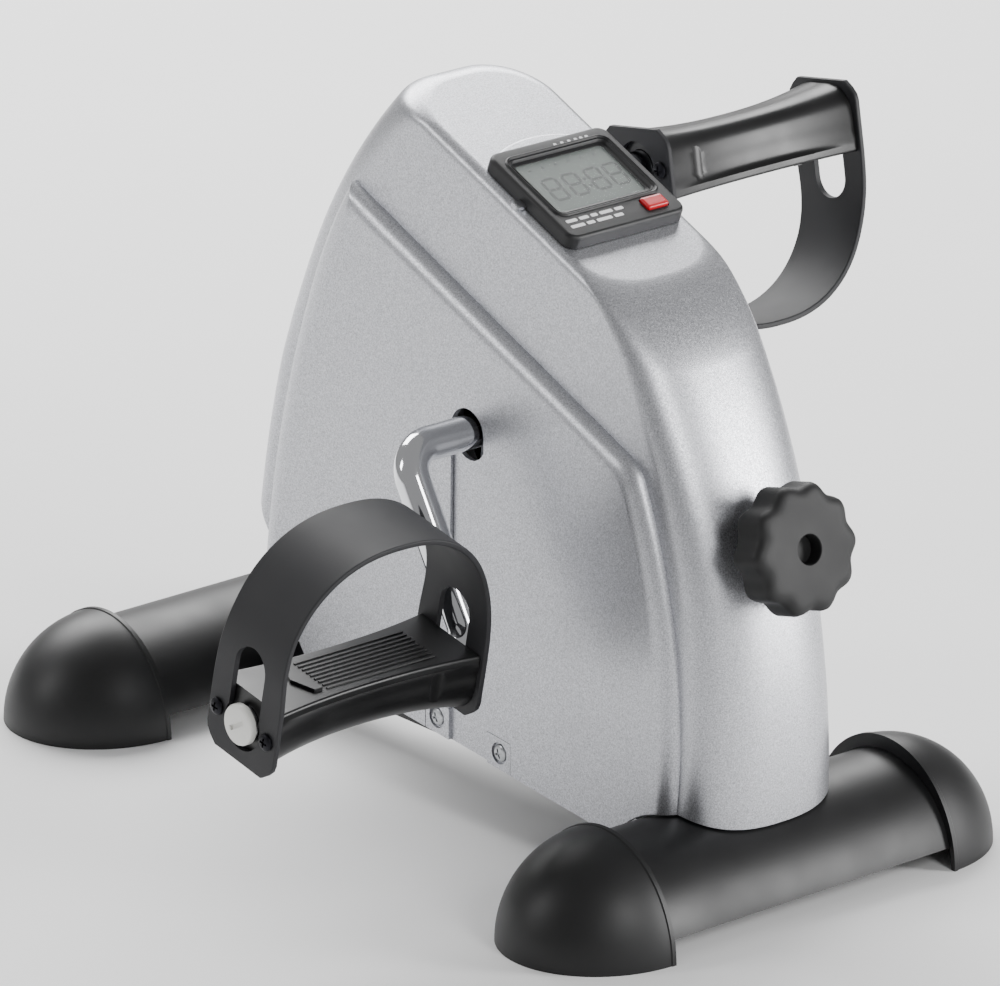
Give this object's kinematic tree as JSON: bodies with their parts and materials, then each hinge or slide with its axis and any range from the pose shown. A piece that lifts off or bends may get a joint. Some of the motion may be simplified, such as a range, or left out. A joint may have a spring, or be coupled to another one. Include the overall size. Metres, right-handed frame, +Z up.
{
  "type": "pedal exerciser",
  "caption": "Under-desk pedal exerciser: silver casing on two arched feet, bent crank with strapped pedals, tension knob and clip-in counter.",
  "frame": {"origin": "on the floor under the middle of the machine's box", "axes": "+Z up, X along the crank axis with +X the rider's right, the rider and the tension knob at -Y"},
  "size_m": [0.3852, 0.393, 0.2934],
  "materials": {
    "black_casing_plastic": "satin black moulded polypropylene",
    "zinc_steel": "bright zinc plate",
    "painted_steel": "black powder coat",
    "nylon": "white moulded nylon",
    "black_plastic": "satin black moulded ABS",
    "black_steel": "black oxide",
    "chromed_steel": "polished chrome plate",
    "webbing": "woven friction webbing",
    "silver_plastic": "silver metallic paint on ABS",
    "strap_pvc": "matte soft PVC",
    "clear_lens": "clear acrylic",
    "lcd_glass": "grey-green liquid crystal glass",
    "board": "green solder mask",
    "red_plastic": "glossy red ABS"
  },
  "bodies": {
    "base": {"front_foot_beam": "black_casing_plastic", "rear_foot_beam": "black_casing_plastic", "front_left_foot_cap": "black_casing_plastic", "front_right_foot_cap": "black_casing_plastic", "rear_left_foot_cap": "black_casing_plastic", "rear_right_foot_cap": "black_casing_plastic", "front_foot_bolt": "zinc_steel", "rear_foot_bolt": "zinc_steel", "base_rail": "painted_steel", "casing_bracket": "zinc_steel", "left_upright": "zinc_steel", "right_upright": "zinc_steel", "left_bush": "nylon", "right_bush": "nylon", "band_anchor_pin": "zinc_steel", "reed_sensor": "black_plastic", "tension_bracket": "zinc_steel", "brake_band": "webbing", "casing": "silver_plastic", "left_slot_cover": "silver_plastic", "right_slot_cover": "silver_plastic", "left_front_cover_screw": "zinc_steel", "left_rear_cover_screw": "zinc_steel", "right_front_cover_screw": "zinc_steel", "right_rear_cover_screw": "zinc_steel", "display_housing": "black_plastic", "display_lens": "clear_lens", "lcd_module": "lcd_glass", "circuit_board": "board", "button_cell": "zinc_steel"},
    "crank": {"crankshaft": "chromed_steel", "brake_drum": "black_plastic", "drum_pin": "zinc_steel", "sensor_magnet": "zinc_steel", "left_shaft_collar": "zinc_steel", "right_shaft_collar": "zinc_steel", "left_spindle_cap": "nylon", "right_spindle_cap": "nylon"},
    "left_pedal": {"left_pedal_body": "black_plastic", "left_pedal_strap": "strap_pvc", "left_inner_front_strap_screw": "black_steel", "left_inner_rear_strap_screw": "black_steel", "left_outer_front_strap_screw": "black_steel", "left_outer_rear_strap_screw": "black_steel"},
    "right_pedal": {"right_pedal_body": "black_plastic", "right_pedal_strap": "strap_pvc", "right_inner_front_strap_screw": "black_steel", "right_inner_rear_strap_screw": "black_steel", "right_outer_front_strap_screw": "black_steel", "right_outer_rear_strap_screw": "black_steel"},
    "knob": {"tension_knob": "black_plastic", "tension_screw": "zinc_steel"},
    "brake_nut": {"tension_nut": "zinc_steel"},
    "button": {"reset_button": "red_plastic"}
  },
  "joints": [
    {"name": "crank_spin", "type": "hinge", "parent": "base", "child": "crank", "pos_m": [0, -0.034, 0.1655], "axis": [1, 0, 0], "continuous": true},
    {"name": "left_pedal_spin", "type": "hinge", "parent": "crank", "child": "left_pedal", "pos_m": [-0.1374, -0.07726, 0.0935], "axis": [1, 0, 0], "continuous": true},
    {"name": "right_pedal_spin", "type": "hinge", "parent": "crank", "child": "right_pedal", "pos_m": [0.1374, 0.00926, 0.2375], "axis": [1, 0, 0], "continuous": true},
    {"name": "knob_turn", "type": "hinge", "parent": "base", "child": "knob", "pos_m": [0, -0.1895, 0.1505], "axis": [0, -0.9703, 0.2419], "range_deg": [0, 1260]},
    {"name": "nut_slide", "type": "slide", "parent": "base", "child": "brake_nut", "axis": [0, -0.9703, 0.2419], "range_m": [0, 0.0044]},
    {"name": "button_press", "type": "slide", "parent": "base", "child": "button", "axis": [0, 0.3923, -0.9198], "range_m": [0, 0.0008], "stiffness_N_per_m": 300}
  ],
  "couplings": [
    {"joint": "nut_slide", "follows": "knob_turn", "m_per_rad": 0.00019894}
  ]
}
